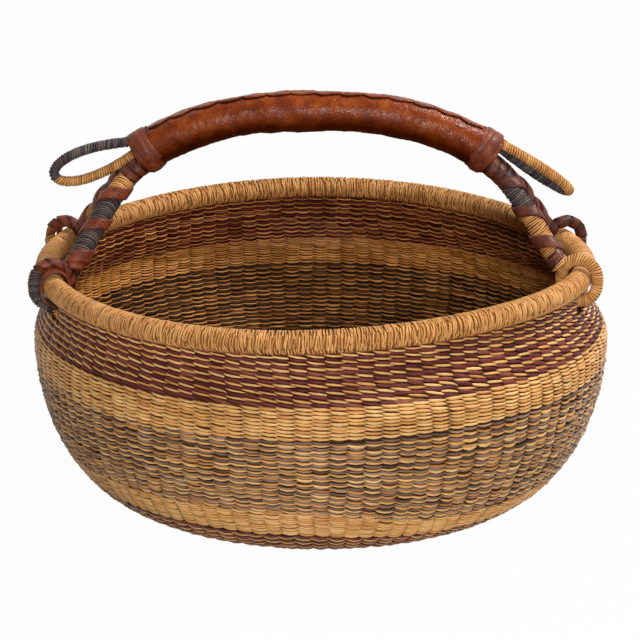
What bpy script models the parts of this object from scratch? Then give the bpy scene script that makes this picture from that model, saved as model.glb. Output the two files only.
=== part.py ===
"""Bolga basket: a round twined-grass bowl with a wrapped rim and a leather-gripped handle.

Metres, +Z up, origin on the ground under the middle of the bowl. The front of the basket is -Y,
and the grip of the handle runs along X. The handle hangs on the rim by four cord loops, and rocks
a few degrees about an X line at the height of the rim, as far as the play in its loops lets it.
"""
import math

import bmesh
import bpy
import numpy as np
from mathutils import Vector

# Clearance between pieces that touch
GAP = 0.0003

# Bowl, measured outside
BELLY_RADIUS = 0.2142
BELLY_HEIGHT = 0.119
BASE_RADIUS = 0.138
WALL = 0.005
NECK_DROP = 0.020

# Coloured weft bands, their widths measured along the wall from the rim down
PLUM_BAND = 0.0354
UPPER_NATURAL_BAND = 0.0252
INDIGO_BAND = 0.0574
LOWER_NATURAL_BAND = 0.0318
BASE_PLUM_BAND = 0.036
START_RADIUS = 0.046

# Rim, and how far it lies to one side of the base and waves up and down
RIM_RADIUS = 0.200
RIM_HEIGHT = 0.172
RIM_THICKNESS = 0.017
RIM_CORE_THICKNESS = 0.0122
RIM_SHIFT = -0.004
RIM_WAVE_COS = (0.0014, -0.0017, -0.0009)
RIM_WAVE_SIN = (0.0, -0.0014, -0.0013)

# Grip, an arch along X
GRIP_RISE = 0.1132
GRIP_HALF_SPAN = 0.1306
GRIP_DROP = 0.0335
GRIP_ARCH_POWER = 2.55
GRIP_THICKNESS = 0.0305
SLEEVE_LEATHER = 0.0022
COLLAR_THICKNESS = 0.0350
COLLAR_WIDTH = 0.017

# Laced seam that stands along the upper back of the sleeve
SEAM_WIDTH = 0.0056
SEAM_HEIGHT = 0.0014
SEAM_LEAN_DEGREES = -18.0
SEAM_SCALLOPS = 14
SEAM_SCALLOP_SHARE = 0.45

# Loops that go round the rim, and the play that lets the handle rock
LOOP_ANGLE_DEGREES = 17.0
LOOP_CORD = 0.0090
ROCK_DEGREES = 2.0
LASHING_WIDTH = 0.0085
LASHING_LEATHER = 0.0018
LEG_MEETS_LOOP_DEGREES = 158.0

# Legs, and the leather strips wound round them
LEG_THICKNESS = 0.0148
LEG_SPREAD = 0.0162
LEG_SEAT_DROP = 0.0062
STRIP_WIDTH = 0.0102
STRIP_LEATHER = 0.0014
STRIP_TURNS = 2.6
STRIP_START = 0.012
STRIP_END = 0.005
LEFT_STRIP_START_SHARE = 0.55
RIGHT_STRIP_START_SHARE = 0.90

# Tail loops at the ends of the grip: how long and wide, how steep, and how far their plane leans
TAIL_CORD = 0.0078
TAIL_LENGTH = 0.066
TAIL_WIDTH = 0.0276
LEFT_TAIL_DROOP_DEGREES = 20.0
LEFT_TAIL_LEAN_DEGREES = 90.0
RIGHT_TAIL_DROOP_DEGREES = 34.0
RIGHT_TAIL_LEAN_DEGREES = -27.0
LEFT_TAIL_SEAT = 0.0072
RIGHT_TAIL_SEAT = 0.0094
TAIL_FIRST_TURN = 0.4
TAIL_WIDEST_SHARE = 0.77

# How finely the round shapes are cut
BOWL_SEGMENTS = 60
WALL_STEP = 0.018
RIM_SIDES = 9
RIM_BORE_SIDES = 7
CORE_SIDES = 6
GRIP_SIDES = 16
GRIP_STATIONS = 20
LEG_SIDES = 12
LEG_STATIONS = 8
CORD_SIDES = 8
LOOP_TURN_STEPS = 10
TAIL_STATIONS = 30
STRIP_STEPS = 14
SCALLOP_STATIONS = 4
CURVE_SAMPLES = 400
SHARP_DEGREES = 50.0
MERGE_DISTANCE = GAP / 100

# Values that follow from the sizes above
RIM_TUBE = RIM_THICKNESS / 2
CORE_TUBE = RIM_CORE_THICKNESS / 2
LEG_RADIUS = LEG_THICKNESS / 2
TAIL_RADIUS = TAIL_CORD / 2
GRIP_RADIUS = GRIP_THICKNESS / 2
SLEEVE_BORE = GRIP_RADIUS - SLEEVE_LEATHER
COLLAR_RADIUS = COLLAR_THICKNESS / 2
LOOP_ANGLE = math.radians(LOOP_ANGLE_DEGREES)
ROCK = math.radians(ROCK_DEGREES)
LOOP_RADIUS = LOOP_CORD / 2
RIM_FACET = RIM_RADIUS * (1 - math.cos(math.pi / BOWL_SEGMENTS))
LOOP_BORE = RIM_TUBE + RIM_FACET + GAP
LOOP_HALF_WIDTH = LOOP_BORE + LOOP_RADIUS * math.cos(math.pi / CORD_SIDES)
LASHING_BORE = LOOP_BORE + LASHING_WIDTH * LASHING_WIDTH / RIM_RADIUS / 8
WALL_TOP = RIM_HEIGHT - CORE_TUBE - GAP

STRAW = (0.58, 0.30, 0.10)
STRAW_DARK = (0.42, 0.20, 0.07)
PLUM = (0.15, 0.04, 0.05)
INDIGO = (0.11, 0.09, 0.10)
RED_LEATHER = (0.26, 0.05, 0.016)
BROWN_LEATHER = (0.14, 0.035, 0.018)


def clear_scene():
    for thing in list(bpy.data.objects):
        bpy.data.objects.remove(thing, do_unlink=True)


def material(name, colour, roughness):
    made = bpy.data.materials.new(name)
    made.use_nodes = True
    shader = made.node_tree.nodes["Principled BSDF"]
    shader.inputs["Base Color"].default_value = (*colour, 1)
    shader.inputs["Roughness"].default_value = roughness
    shader.inputs["Metallic"].default_value = 0
    return made


def loft(name, rings, finish, closed=False, parent=None):
    """Skin a row of equal rings of points. A closed row joins its last ring to its first."""
    shape = bmesh.new()
    rows = [[shape.verts.new(point) for point in ring] for ring in rings]
    count = len(rows[0])
    pairs = list(zip(rows, rows[1:]))
    if closed:
        pairs.append((rows[-1], rows[0]))
    for near, far in pairs:
        for i in range(count):
            j = (i + 1) % count
            shape.faces.new((near[i], near[j], far[j], far[i]))
    if not closed:
        shape.faces.new(rows[0])
        shape.faces.new(rows[-1])
    bmesh.ops.remove_doubles(shape, verts=shape.verts, dist=MERGE_DISTANCE)
    bmesh.ops.recalc_face_normals(shape, faces=shape.faces)
    mesh = bpy.data.meshes.new(name)
    shape.to_mesh(mesh)
    shape.free()
    mesh.shade_smooth()
    mesh.set_sharp_from_angle(angle=math.radians(SHARP_DEGREES))
    mesh.materials.append(finish)
    piece = bpy.data.objects.new(name, mesh)
    bpy.context.scene.collection.objects.link(piece)
    if parent is not None:
        mesh.transform(parent.matrix_basis.inverted())
        piece.parent = parent
    return piece


def cut(piece, cutter):
    """Take the cutter's shape out of a piece, and hide the cutter."""
    cutter.hide_render = True
    cutter.display_type = "WIRE"
    boolean = piece.modifiers.new(cutter.name, "BOOLEAN")
    boolean.operation = "DIFFERENCE"
    boolean.solver = "EXACT"
    boolean.object = cutter


def smooth_share(value, low, high):
    share = min(max((value - low) / (high - low), 0), 1)
    return share * share * (3 - 2 * share)


def rim_wave(angle):
    """How far the rim stands above or below its mean height at an angle."""
    height = 0
    for turn, (c, s) in enumerate(zip(RIM_WAVE_COS, RIM_WAVE_SIN), start=1):
        height += c * math.cos(turn * angle) + s * math.sin(turn * angle)
    return height


def bowl_point(radius, height, angle):
    """A point of the bowl: above the belly it follows the rim's shift and wave."""
    share = smooth_share(height, BELLY_HEIGHT, RIM_HEIGHT - NECK_DROP)
    x = RIM_SHIFT * share + radius * math.cos(angle)
    return Vector((x, radius * math.sin(angle), height + rim_wave(angle) * share))


def rim_point(angle, out=0, up=0, along=0):
    """A point near the rim's middle line: outward, up, and along the rim from an angle."""
    outward = Vector((math.cos(angle), math.sin(angle), 0))
    onward = Vector((-math.sin(angle), math.cos(angle), 0))
    middle = bowl_point(RIM_RADIUS, RIM_HEIGHT, angle)
    return middle + outward * out + onward * along + Vector((0, 0, up))


def wall_line():
    """The outside of the wall from its top edge down to the middle of the base."""
    neck_height = RIM_HEIGHT - NECK_DROP
    points = [(RIM_RADIUS + WALL / 2, WALL_TOP)]
    for step in range(CURVE_SAMPLES):
        height = neck_height + (BELLY_HEIGHT - neck_height) * step / CURVE_SAMPLES
        share = smooth_share(height, BELLY_HEIGHT, neck_height)
        points.append((BELLY_RADIUS + (RIM_RADIUS + WALL / 2 - BELLY_RADIUS) * share, height))
    for step in range(CURVE_SAMPLES + 1):
        turn = math.pi / 2 * step / CURVE_SAMPLES
        radius = BASE_RADIUS + (BELLY_RADIUS - BASE_RADIUS) * math.cos(turn)
        height = BELLY_HEIGHT * (1 - math.sin(turn))
        points.append((radius, height))
    points.append((0, 0))
    return np.array(points)


def weft_band(name, start, end, finish):
    """One coloured band of the wall between two distances along it from its top edge."""
    line = wall_line()
    lengths = np.concatenate([[0], np.cumsum(np.hypot(*np.diff(line, axis=0).T))])
    steps = max(2, math.ceil((end - start) / WALL_STEP))
    stations = np.linspace(start, end, steps + 1)
    outer = np.stack([np.interp(stations, lengths, line[:, i]) for i in (0, 1)], axis=1)
    ahead = np.stack([np.interp(stations + GAP, lengths, line[:, i]) for i in (0, 1)], axis=1)
    behind = np.stack([np.interp(stations - GAP, lengths, line[:, i]) for i in (0, 1)], axis=1)
    slope = ahead - behind
    slope /= np.linalg.norm(slope, axis=1)[:, None]
    inner = outer + WALL * np.stack([slope[:, 1], -slope[:, 0]], axis=1)
    section = np.concatenate([outer, inner[::-1]])
    rings = []
    for segment in range(BOWL_SEGMENTS):
        angle = math.tau * segment / BOWL_SEGMENTS
        rings.append([bowl_point(radius, height, angle) for radius, height in section])
    return loft(name, rings, finish, closed=True)


def base_start(name, length, finish):
    """The round start of the weave, a disc in the middle of the base."""
    edge = length - GAP
    rings = []
    for height in (0, WALL):
        rings.append([Vector((edge * math.cos(math.tau * i / BOWL_SEGMENTS),
                              edge * math.sin(math.tau * i / BOWL_SEGMENTS), height))
                      for i in range(BOWL_SEGMENTS)])
    return loft(name, rings, finish)


def rim_section_ring(name, section, finish):
    """Carry a section of (out, up) points round the rim."""
    rings = []
    for segment in range(BOWL_SEGMENTS):
        angle = math.tau * segment / BOWL_SEGMENTS
        rings.append([rim_point(angle, out, up) for out, up in section])
    return loft(name, rings, finish, closed=True)


def rim_core(finish):
    section = [(CORE_TUBE * math.cos(math.tau * i / CORE_SIDES),
                CORE_TUBE * math.sin(math.tau * i / CORE_SIDES)) for i in range(CORE_SIDES)]
    return rim_section_ring("rim_core", section, finish)


def rim_wrapping(finish):
    """The wound grass round the core, open below where the wall's edge enters it."""
    bore = (CORE_TUBE + GAP) / math.cos(math.pi / RIM_BORE_SIDES)
    slit = WALL / 2 + GAP
    section = []
    for radius, sides, order in ((RIM_TUBE, RIM_SIDES, 1), (bore, RIM_BORE_SIDES, -1)):
        edge = math.asin(slit / radius)
        arc = [radius * np.array((math.sin(turn), -math.cos(turn)))
               for turn in np.linspace(edge, math.tau - edge, sides + 1)]
        section += arc[::order]
    return rim_section_ring("rim_wrapping", section, finish)


def loop_play(angle):
    """How far a loop rises and falls on the rim when the handle rocks."""
    return RIM_RADIUS * abs(math.sin(angle)) * math.sin(ROCK) + GAP


def loop_line(angle, half_width):
    """A closed upright oval round the rim: half circles joined by short straight sides."""
    play = loop_play(angle)
    points = []
    for centre, first in ((play, 0), (-play, math.pi)):
        for step in range(LOOP_TURN_STEPS + 1):
            turn = first + math.pi * step / LOOP_TURN_STEPS
            out = half_width * math.cos(turn)
            up = centre + half_width * math.sin(turn)
            points.append(rim_point(angle, out, up))
    return points


def loop_frames(points, angle):
    """Outward direction in the loop's plane at each point, and the direction across it."""
    across = Vector((-math.sin(angle), math.cos(angle), 0))
    frames = []
    for i, point in enumerate(points):
        tangent = (points[(i + 1) % len(points)] - points[i - 1]).normalized()
        frames.append((point, tangent.cross(across), across))
    return frames


def rim_loop(name, angle, radius, finish, parent=None):
    """A cord ring round the rim. With a larger radius it is the cutter of the same ring."""
    points = loop_line(angle, LOOP_HALF_WIDTH)
    rings = []
    for point, outward, across in loop_frames(points, angle):
        rings.append([point + (outward * math.cos(turn) + across * math.sin(turn)) * radius
                      for turn in turns(CORD_SIDES)])
    return loft(name, rings, finish, closed=True, parent=parent)


def lashing(name, angle, finish, parent):
    """A flat leather strap round the rim."""
    inner = loop_line(angle, LASHING_BORE)
    outer = loop_line(angle, LASHING_BORE + LASHING_LEATHER)
    across = Vector((-math.sin(angle), math.cos(angle), 0)) * LASHING_WIDTH / 2
    rings = [[a - across, b - across, b + across, a + across] for a, b in zip(inner, outer)]
    return loft(name, rings, finish, closed=True, parent=parent)


def loop_slot(name, angle, low, high):
    """The hole under the rim that a loop passes through, from low to high along the rim."""
    drop = LOOP_HALF_WIDTH + LOOP_RADIUS + 2 * loop_play(angle) + GAP
    depth = RIM_TUBE + LOOP_CORD
    rings = []
    for up in (-drop, 0):
        rings.append([rim_point(angle, out, up, along) for out, along in
                      ((-depth, low), (depth, low), (depth, high), (-depth, high))])
    return loft(name, rings, cutter_material())


def cutter_material():
    return bpy.data.materials.get("cutter") or material("cutter", STRAW, 1)


def turns(sides):
    return [math.tau * (i + 1 / 2) / sides for i in range(sides)]


def grip_line():
    """The grip's arch from its left end to its right end, evenly spaced by length."""
    across = np.linspace(-1, 1, CURVE_SAMPLES)
    x = RIM_SHIFT + across * GRIP_HALF_SPAN
    z = RIM_HEIGHT + GRIP_RISE - GRIP_DROP * np.abs(across) ** GRIP_ARCH_POWER
    lengths = np.concatenate([[0], np.cumsum(np.hypot(np.diff(x), np.diff(z)))])
    return x, z, lengths


def grip_frame(distance):
    """Point, direction and upward normal of the arch at a distance from its left end."""
    x, z, lengths = grip_line()
    step = lengths[-1] / CURVE_SAMPLES
    here = Vector((np.interp(distance, lengths, x), 0, np.interp(distance, lengths, z)))
    low = min(max(distance, step), lengths[-1] - step)
    before = Vector((np.interp(low - step, lengths, x), 0, np.interp(low - step, lengths, z)))
    after = Vector((np.interp(low + step, lengths, x), 0, np.interp(low + step, lengths, z)))
    direction = (after - before).normalized()
    return here, direction, direction.cross(Vector((0, 1, 0)))


def grip_ring(distance, radius):
    point, direction, up = grip_frame(distance)
    across = Vector((0, 1, 0))
    return [point + (up * math.cos(turn) + across * math.sin(turn)) * radius
            for turn in turns(GRIP_SIDES)]


def grip_core(length, finish, parent):
    stations = np.linspace(0, length, GRIP_STATIONS)
    return loft("grip_core", [grip_ring(s, SLEEVE_BORE - GAP) for s in stations], finish,
                parent=parent)


def grip_tube(name, start, end, bore, radius, steps, finish, parent):
    """A leather tube on the arch between two distances along it."""
    stations = np.linspace(start, end, steps)
    outer = [grip_ring(s, radius) for s in stations]
    inner = [grip_ring(s, bore) for s in stations][::-1]
    columns = [[ring[i] for ring in outer + inner] for i in range(GRIP_SIDES)]
    return loft(name, columns, finish, closed=True, parent=parent)


def grip_seam(length, finish, parent):
    """The laced edge of the sleeve, a lip whose width and height swell at each stitch."""
    lean = math.radians(SEAM_LEAN_DEGREES)
    margin = COLLAR_WIDTH + GAP
    steps = SEAM_SCALLOPS * SCALLOP_STATIONS
    rings = []
    for step in range(steps + 1):
        share = step / steps
        point, direction, up = grip_frame(margin + (length - 2 * margin) * share)
        swell = 1 - SEAM_SCALLOP_SHARE * (1 + math.cos(math.tau * SEAM_SCALLOPS * share)) / 2
        outward = up * math.cos(lean) + Vector((0, 1, 0)) * math.sin(lean)
        sideways = direction.cross(outward)
        foot = point + outward * (GRIP_RADIUS + GAP)
        half = sideways * SEAM_WIDTH / 2 * swell
        top = outward * SEAM_HEIGHT * swell
        rings.append([foot - half, foot + half, foot + half / 2 + top, foot - half / 2 + top])
    return loft("grip_seam", rings, finish, parent=parent)


def end_frame(side, length):
    """Middle of the grip's end face, the way out of it, and its upward direction."""
    point, direction, up = grip_frame(0 if side < 0 else length)
    return point, direction * side, up


def leg_line(side, front, length):
    """A leg's middle line from the grip's end face down to its rim loop."""
    face, out, up = end_frame(side, length)
    angle = loop_angle(side, front)
    meet = math.radians(LEG_MEETS_LOOP_DEGREES)
    foot = rim_point(angle, LOOP_HALF_WIDTH * math.cos(meet),
                     loop_play(angle) + LOOP_HALF_WIDTH * math.sin(meet))
    head = face + out * GAP - up * LEG_SEAT_DROP + Vector((0, front * LEG_SPREAD / 2, 0))
    reach = (foot - head).length
    straight = (foot - head) / reach
    a, b, c, d = head, head + out * reach / 4, foot - straight * reach / 3, foot
    points = []
    for step in range(CURVE_SAMPLES):
        t = step / (CURVE_SAMPLES - 1)
        u = 1 - t
        points.append(a * u ** 3 + b * 3 * u * u * t + c * 3 * u * t * t + d * t ** 3)
    return points


def leg_stations(line, distances):
    """Points and frames at distances along a leg's middle line."""
    points = np.array(line)
    lengths = np.concatenate([[0], np.cumsum(np.linalg.norm(np.diff(points, axis=0), axis=1))])
    across = Vector((0, 1, 0))
    frames = []
    for distance in distances:
        here = Vector([np.interp(distance, lengths, points[:, i]) for i in range(3)])
        before = Vector([np.interp(distance - GAP, lengths, points[:, i]) for i in range(3)])
        after = Vector([np.interp(distance + GAP, lengths, points[:, i]) for i in range(3)])
        direction = (after - before).normalized()
        normal = direction.cross(across).normalized()
        frames.append((here, normal, direction.cross(normal)))
    return frames, lengths[-1]


def leg_point(frame, turn, radius):
    here, normal, other = frame
    return here + (normal * math.cos(turn) + other * math.sin(turn)) * radius


def leg(name, line, finish, parent):
    reach = leg_stations(line, [0])[1]
    frames = leg_stations(line, np.linspace(0, reach, LEG_STATIONS))[0]
    rings = [[leg_point(frame, turn, LEG_RADIUS) for turn in turns(LEG_SIDES)]
             for frame in frames]
    return loft(name, rings, finish, parent=parent)


def leather_strip(name, line, first_turn, hand, finish, parent):
    """One unbroken flat strip wound round a leg, with its least gap to itself printed."""
    reach = leg_stations(line, [0])[1]
    bore = (LEG_RADIUS + GAP) / math.cos(math.pi / STRIP_STEPS)
    first = STRIP_START + STRIP_WIDTH / 2
    last = reach - STRIP_END - STRIP_WIDTH / 2
    steps = round(STRIP_TURNS * STRIP_STEPS)
    middles = np.linspace(first, last, steps + 1)
    upper = leg_stations(line, middles - STRIP_WIDTH / 2)[0]
    lower = leg_stations(line, middles + STRIP_WIDTH / 2)[0]
    rings = []
    for step in range(steps + 1):
        turn = math.tau * (1 / 4 + hand * (first_turn + step / STRIP_STEPS))
        rings.append([leg_point(upper[step], turn, bore),
                      leg_point(upper[step], turn, bore + STRIP_LEATHER),
                      leg_point(lower[step], turn, bore + STRIP_LEATHER),
                      leg_point(lower[step], turn, bore)])
    corners = np.array(rings)
    gaps = [np.linalg.norm(corners[i, :, None] - corners[j, None, :], axis=2).min()
            for i in range(len(corners)) for j in range(i + STRIP_STEPS * 3 // 4, len(corners))]
    print(name, "least gap to itself, mm:", round(min(gaps) * 1000, 2))
    return loft(name, rings, finish, parent=parent)


def tail_loop(name, side, droop, lean, seat, length, finish, parent):
    """A cord that leaves the end of the grip, opens into a loop and comes back to it."""
    face, out, up = end_frame(side, length)
    droop = math.radians(droop)
    lean = math.radians(lean)
    axis = Vector((side * math.cos(droop), 0, -math.sin(droop)))
    level = Vector((0, 1, 0))
    wide = level * math.cos(lean) + axis.cross(level) * side * math.sin(lean)
    flat = axis.cross(wide)
    mouth = TAIL_RADIUS / math.cos(math.pi / CORD_SIDES) + GAP
    swell = (TAIL_WIDTH / 2 - TAIL_RADIUS - mouth / 2) / TAIL_WIDEST_SHARE
    start = face + up * seat
    line = []
    for step in range(TAIL_STATIONS + 1):
        turn = TAIL_FIRST_TURN + (math.tau - 2 * TAIL_FIRST_TURN) * step / TAIL_STATIONS
        along = (TAIL_LENGTH - TAIL_RADIUS) * (1 - math.cos(turn)) / 2
        aside = mouth * math.cos(turn / 2) + swell * math.sin(turn) * math.sin(turn / 2)
        line.append(start + axis * along + wide * aside)
    for end in (0, -1):
        line[end] -= out * ((line[end] - face).dot(out) - GAP)
    rings = []
    for i, point in enumerate(line):
        direction = line[min(i + 1, TAIL_STATIONS)] - line[max(i - 1, 0)]
        if i in (0, TAIL_STATIONS):
            direction = out if i == 0 else -out
        outward = direction.normalized().cross(flat).normalized()
        across = direction.normalized().cross(outward)
        rings.append([point + (outward * math.cos(turn) + across * math.sin(turn)) * TAIL_RADIUS
                      for turn in turns(CORD_SIDES)])
    return loft(name, rings, finish, parent=parent)


def loop_angle(side, front):
    """Angle round the rim of a handle loop: side is -1 left or 1 right, front is -1 or 1."""
    angle = LOOP_ANGLE * front
    return angle if side > 0 else math.pi - angle


def build_bowl(finishes):
    line = wall_line()
    total = np.hypot(*np.diff(line, axis=0).T).sum()
    names = ("plum_band", "upper_natural_band", "indigo_band", "lower_natural_band",
             "base_plum_band", "base_natural_band")
    colours = ("plum", "straw", "indigo", "straw", "plum", "straw")
    widths = (PLUM_BAND, UPPER_NATURAL_BAND, INDIGO_BAND, LOWER_NATURAL_BAND, BASE_PLUM_BAND)
    bounds = [sum(widths[:count]) for count in range(len(widths) + 1)] + [total - START_RADIUS]
    bands = {}
    for name, colour, start, end in zip(names, colours, bounds, bounds[1:]):
        bands[name] = weft_band(name, start, end - GAP, finishes[colour])
    base_start("base_start", START_RADIUS, finishes["straw"])
    rim_core(finishes["core"])
    rim_wrapping(finishes["straw"])
    return bands["plum_band"]


def build_handle(finishes, hinge, plum_band):
    length = grip_line()[2][-1]
    grip_core(length, finishes["core"], hinge)
    grip_tube("grip_sleeve", 0, length, SLEEVE_BORE, GRIP_RADIUS, GRIP_STATIONS,
              finishes["red_leather"], hinge)
    grip_seam(length, finishes["red_leather"], hinge)
    bore = GRIP_RADIUS + GAP
    for name, start in (("left_collar", 0), ("right_collar", length - COLLAR_WIDTH)):
        grip_tube(name, start, start + COLLAR_WIDTH, bore, COLLAR_RADIUS, 3,
                  finishes["brown_leather"], hinge)
    corners = (("left_front", -1, -1, "indigo", True), ("left_back", -1, 1, "straw", True),
               ("right_front", 1, -1, "straw", False), ("right_back", 1, 1, "leather", False))
    for name, side, front, colour, lashed in corners:
        angle = loop_angle(side, front)
        finish = finishes["brown_leather" if colour == "leather" else colour]
        rim_loop(f"{name}_rim_loop", angle, LOOP_RADIUS, finish, hinge)
        line = leg_line(side, front, length)
        shaft = leg(f"{name}_leg", line, finishes["straw"], hinge)
        room = rim_loop(f"{name}_leg_cutter", angle,
                        LOOP_RADIUS + GAP / math.cos(math.pi / CORD_SIDES), cutter_material())
        cut(shaft, room)
        first_turn = LEFT_STRIP_START_SHARE if side < 0 else RIGHT_STRIP_START_SHARE
        leather_strip(f"{name}_strip", line, first_turn, side * front,
                      finishes["brown_leather"], hinge)
        tilt = (LOOP_HALF_WIDTH + LOOP_RADIUS + 2 * loop_play(angle)) * math.sin(ROCK) + 2 * GAP
        low = high = LOOP_RADIUS + tilt
        if lashed:
            beside = LOOP_RADIUS + 2 * GAP + LASHING_WIDTH / 2
            toward = -side * front
            strap_angle = angle - toward * beside / RIM_RADIUS
            lashing(f"{name}_lashing", strap_angle, finishes["brown_leather"], hinge)
            far = beside + LASHING_WIDTH / 2 + tilt
            low, high = (far, high) if toward > 0 else (low, far)
        cut(plum_band, loop_slot(f"{name}_slot_cutter", angle, -low, high))
    tail_loop("left_tail_loop", -1, LEFT_TAIL_DROOP_DEGREES, LEFT_TAIL_LEAN_DEGREES,
              LEFT_TAIL_SEAT, length, finishes["indigo"], hinge)
    tail_loop("right_tail_loop", 1, RIGHT_TAIL_DROOP_DEGREES, RIGHT_TAIL_LEAN_DEGREES,
              RIGHT_TAIL_SEAT, length, finishes["straw"], hinge)


def main():
    clear_scene()
    finishes = {
        "straw": material("straw", STRAW, 0.6),
        "core": material("core_grass", STRAW_DARK, 0.75),
        "plum": material("plum_straw", PLUM, 0.6),
        "indigo": material("indigo_straw", INDIGO, 0.6),
        "red_leather": material("red_leather", RED_LEATHER, 0.35),
        "brown_leather": material("brown_leather", BROWN_LEATHER, 0.45),
    }
    hinge = bpy.data.objects.new("handle_rock_axis", None)
    hinge.location = (RIM_SHIFT, 0, RIM_HEIGHT)
    bpy.context.scene.collection.objects.link(hinge)
    bpy.context.view_layer.update()
    plum_band = build_bowl(finishes)
    build_handle(finishes, hinge, plum_band)


main()
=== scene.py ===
"""Looks of the bolga basket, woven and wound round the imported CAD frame.

Metres, +Z up. The weave is real geometry: each visible stitch of each row is a strand of its own,
and so is each turn of the grass wound round the rim, the legs and the cord loops.
"""
import math

import bpy
import numpy as np
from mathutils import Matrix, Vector


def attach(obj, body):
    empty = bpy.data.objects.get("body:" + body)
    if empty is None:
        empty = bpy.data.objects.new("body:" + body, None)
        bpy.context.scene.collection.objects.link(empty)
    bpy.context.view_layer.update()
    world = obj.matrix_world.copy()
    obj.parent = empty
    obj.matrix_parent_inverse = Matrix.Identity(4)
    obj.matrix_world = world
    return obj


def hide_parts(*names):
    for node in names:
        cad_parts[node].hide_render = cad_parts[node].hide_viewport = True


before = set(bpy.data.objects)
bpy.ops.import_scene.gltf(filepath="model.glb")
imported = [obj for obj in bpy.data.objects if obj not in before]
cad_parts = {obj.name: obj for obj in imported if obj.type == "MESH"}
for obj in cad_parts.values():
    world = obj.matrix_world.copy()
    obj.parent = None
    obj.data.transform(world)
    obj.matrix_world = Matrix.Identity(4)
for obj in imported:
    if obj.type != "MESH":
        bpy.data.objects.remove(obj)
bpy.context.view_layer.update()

GAP = 0.0003

# Bowl and rim, as in the CAD
BELLY_RADIUS, BELLY_HEIGHT, BASE_RADIUS, WALL, NECK_DROP = 0.2142, 0.119, 0.138, 0.005, 0.020
RIM_RADIUS, RIM_HEIGHT, RIM_TUBE, CORE_TUBE, RIM_SHIFT = 0.200, 0.172, 0.0085, 0.0061, -0.004
RIM_WAVE_COS = (0.0014, -0.0017, -0.0009)
RIM_WAVE_SIN = (0.0, -0.0014, -0.0013)
START_RADIUS, START_HOLE = 0.046, 0.010
BAND_WIDTHS = {"plum_band": 0.0354, "upper_natural_band": 0.0252, "indigo_band": 0.0574,
               "lower_natural_band": 0.0318, "base_plum_band": 0.036}
BAND_EDGES = np.concatenate([[0], np.cumsum(list(BAND_WIDTHS.values()))])

# Handle, as in the CAD
GRIP_RISE, GRIP_HALF_SPAN, GRIP_DROP, GRIP_ARCH_POWER = 0.1132, 0.1306, 0.0335, 2.55
GRIP_RADIUS, COLLAR_WIDTH = 0.01525, 0.017
SEAM_LEAN, SEAM_SCALLOPS = math.radians(-18), 14
LOOP_ANGLE, LOOP_RADIUS, ROCK = math.radians(17), 0.0045, math.radians(2)
BOWL_SEGMENTS, CORD_SIDES = 60, 8
LASHING_WIDTH, LASHING_LEATHER = 0.0085, 0.0018
LEG_MEETS_LOOP = math.radians(158)
LEG_RADIUS, LEG_SPREAD, LEG_SEAT_DROP = 0.0074, 0.0162, 0.0062
STRIP_WIDTH, STRIP_LEATHER, STRIP_TURNS, STRIP_START, STRIP_END = 0.0102, 0.0014, 2.6, 0.012, 0.005
LEFT_STRIP_FIRST_TURN, RIGHT_STRIP_FIRST_TURN = 0.55, 0.90
TAIL_RADIUS, TAIL_LENGTH, TAIL_WIDTH = 0.0039, 0.066, 0.0276
TAIL_FIRST_TURN, TAIL_WIDEST_SHARE = 0.4, 0.77
LEFT_TAIL = {"side": -1, "droop": math.radians(20), "lean": math.radians(90), "seat": 0.0072}
RIGHT_TAIL = {"side": 1, "droop": math.radians(34), "lean": math.radians(-27), "seat": 0.0094}
RIM_FACET = RIM_RADIUS * (1 - math.cos(math.pi / BOWL_SEGMENTS))
LOOP_BORE = RIM_TUBE + RIM_FACET + GAP
LOOP_HALF_WIDTH = LOOP_BORE + LOOP_RADIUS * math.cos(math.pi / CORD_SIDES)
LASHING_BORE = LOOP_BORE + LASHING_WIDTH * LASHING_WIDTH / RIM_RADIUS / 8
CURVE_SAMPLES, RIM_STEPS, LOOP_STEPS, TAIL_STEPS = 400, 720, 24, 90
BACKWARD = np.array((0, 1, 0))

# Weave: one stitch, in metres or as shares of its row's height or of the stakes' spacing
STITCH_OVERLAP, STITCH_LEAN, STITCH_BOW, STITCH_SAG = 1.30, 1.05, 0.16, 0.62
STITCH_THICKNESS, STITCH_DIP, STITCH_PROUD, STITCH_LENGTH = 0.0016, 0.0023, 0.0005, 0.012
STITCH_HALF_HEIGHT, STITCH_TAPER, STITCH_WRAP, INSIDE_LEAN = 0.53, 0.68, 0.52, -0.4
# How much painted shade a stitch gets where it tucks behind the one before it, and where it comes
# out over the next
PAINTED_START_SHADE, PAINTED_END_SHADE = 0.9, 0.45
HOLE_LAP, HOLE_DROP = 0.24, 0.2
OUTSIDE, INSIDE = 1, -1
OUTSIDE_CUT, INSIDE_CUT, BASE_CUT = (5, 5), (5, 4), (5, 4)

# How far one stitch differs from the next
STAKE_WANDER, STAKE_SPREAD, ROW_WAVE, ROW_SPREAD = 0.06, 0.04, 0.00045, 0.00016
LEAN_SPREAD, BOW_SPREAD, WIDTH_SPREAD, SINK_SPREAD = 0.22, 0.6, 0.08, 0.00014
SHADE_SPREAD, SHADE_WAVE = 0.24, 0.1

# How far the lower border of each band wanders down the outside: all round, and more at the right
BORDER_DRIFT = ((0.0026, 0.0), (0.0026, -0.0025), (0.0055, 0.0165), (-0.0005, 0.0115))
DRIFT_TOP, DRIFT_START, DRIFT_RISE, DRIFT_FALL = 0.012, math.radians(262), 0.75, 1.8

# Rows and stakes of the base, and the layer of stakes behind the stitches
BASE_ROWS, BASE_OUTER_STAKES, BASE_INNER_STAKES, START_ROWS, START_STAKES = 21, 72, 48, 14, 22
BACKING_STEPS, BACKING_HEIGHT = 360, 0.005

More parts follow.
